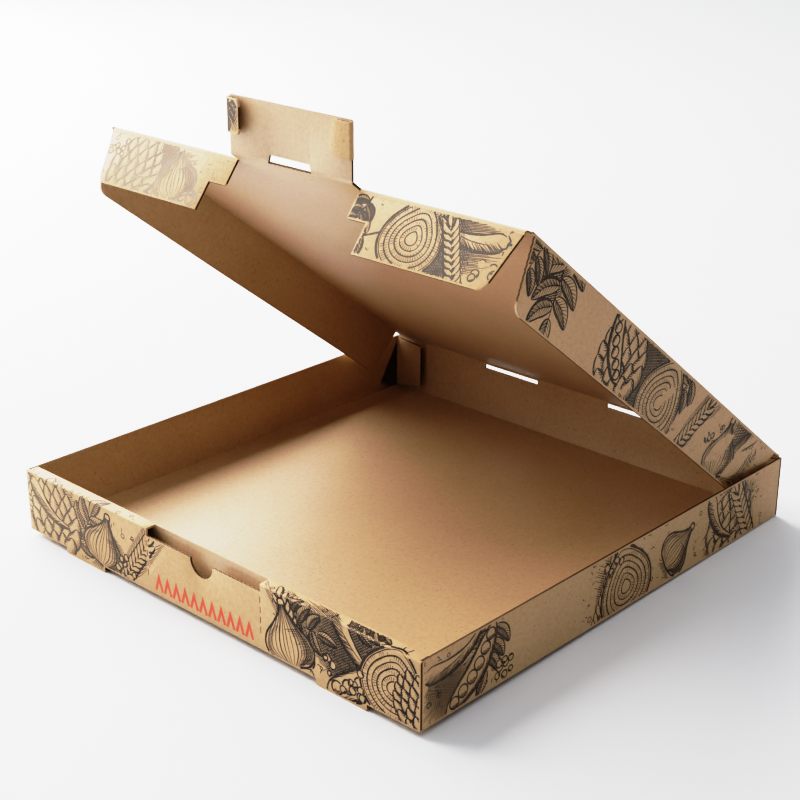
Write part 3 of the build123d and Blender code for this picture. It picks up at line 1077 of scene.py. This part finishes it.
ear_outline = [(48.4, 13.2), (57.0, 13.2), (60.4, 16.5), (60.4, 29.0), (57.0, 32.1), (48.4, 32.1)]
tab_axis_y = -165.87
ear = Drawing(31)
ground(ear, 54, 22, 16, 22, 60, 10)
sprig(ear, 52, 34, 172, 18, 3)
lay_ink("lock_ear_left_print", ear, lambda u, v: place_flat("lock_ear_left", -u, tab_axis_y - v),
        lambda u, v: within((u, v), ear_outline), "lock_ear_left", brown_ink, lambda u, v: 0.12)
# %% [markdown]
# ## Floor, light and camera
#
# The box stands on a plain white sweep in soft daylight from the upper left. Its two feet lift
# the front by a few millimetres, so the floor is tilted to touch the feet and the rear fold. One
# large soft lamp gives the direction, and a bright sky fills the shadows.

# %% Floor
def pale_floor():
    """A matt white floor with a trace of unevenness."""
    material, tree, shader = new_material("white_floor")
    spot = put(tree, "TexCoord").outputs["Object"]
    cloud = grain(tree, spot, 3, 2, 0.3, 0.7)
    colour = blend_colour(tree, cloud, (0.765, 0.775, 0.80, 1), (0.79, 0.80, 0.825, 1))
    tree.links.new(colour, shader.inputs["Base Color"])
    shader.inputs["Roughness"].default_value = 0.7
    shader.inputs["Specular IOR Level"].default_value = 0.3
    return material


foot_reach, floor_tilt = 4 * mm, 4 / 339.25
bpy.ops.mesh.primitive_plane_add(size=14, location=(0, 0, -foot_reach / 2))
floor = bpy.context.active_object
floor.name = "white_sweep"
floor.rotation_euler = (math.atan(floor_tilt), 0, 0)
floor.data.materials.append(pale_floor())

# %% Light
def soft_lamp(name, place, target, size, power, colour):
    """A square lamp that faces a point."""
    bpy.ops.object.light_add(type="AREA", location=place)
    lamp = bpy.context.active_object
    lamp.name = name
    lamp.data.size, lamp.data.energy, lamp.data.color = size, power, colour
    lamp.rotation_euler = (Vector(target) - Vector(place)).to_track_quat("-Z", "Y").to_euler()
    return lamp


soft_lamp("window", (-1.65, -0.1, 1.2), (0, 0, 0.05), 2.2, 155, (1.0, 0.985, 0.965))
soft_lamp("ceiling", (0.6, -0.3, 2.2), (0, 0, 0), 2.0, 21, (1.0, 0.99, 0.98))
soft_lamp("front_window", (-0.9, -2.2, 0.9), (0, 0, 0.05), 1.4, 7, (1.0, 0.985, 0.965))
soft_lamp("back_window", (-2.3, 2.0, 1.0), (0, 0, 0.1), 2.6, 45, (0.97, 0.985, 1.0))
sky = bpy.data.worlds.new("bright_room")
bpy.context.scene.world = sky
sky.use_nodes = True
sky.node_tree.nodes["Background"].inputs["Color"].default_value = (0.90, 0.94, 1.0, 1)
sky.node_tree.nodes["Background"].inputs["Strength"].default_value = 0.31

# %% Film response
film_response = [(0.04, 0.010), (0.08, 0.034), (0.16, 0.103), (0.30, 0.235), (0.45, 0.42), (0.80, 0.73), (1.2, 0.83), (2.0, 0.91)]
film_end = (4.0, 1.0)
look = bpy.context.scene.view_settings
look.view_transform = "Standard"
look.use_curve_mapping = True
look.curve_mapping.clip_max_x = film_end[0]
curve = look.curve_mapping.curves[3]
curve.points[-1].location = film_end
for light, shown in film_response:
    curve.points.new(light, shown)
look.curve_mapping.update()
print("film response at", [tuple(round(v, 2) for v in p.location) for p in curve.points])

# %% Camera
azimuth, elevation, roll = (math.radians(a) for a in (43.021, 22.249, 0.176))
camera_at = Vector((0.63691, -0.68969, 0.46812))
back = Vector((math.sin(azimuth) * math.cos(elevation), -math.cos(azimuth) * math.cos(elevation),
               math.sin(elevation)))
right = Vector((math.cos(azimuth), math.sin(azimuth), 0))
up = back.cross(right)
rolled_right = right * math.cos(roll) + up * math.sin(roll)
rolled_up = up * math.cos(roll) - right * math.sin(roll)
camera = bpy.data.objects.new("camera", bpy.data.cameras.new("camera"))
bpy.context.collection.objects.link(camera)
camera.matrix_world = Matrix((rolled_right, rolled_up, back)).transposed().to_4x4()
camera.location = camera_at
camera.data.lens, camera.data.sensor_width = 73.776, 36
camera.data.clip_end = 50
bpy.context.scene.camera = camera
print("camera at", [round(v, 3) for v in camera.location])
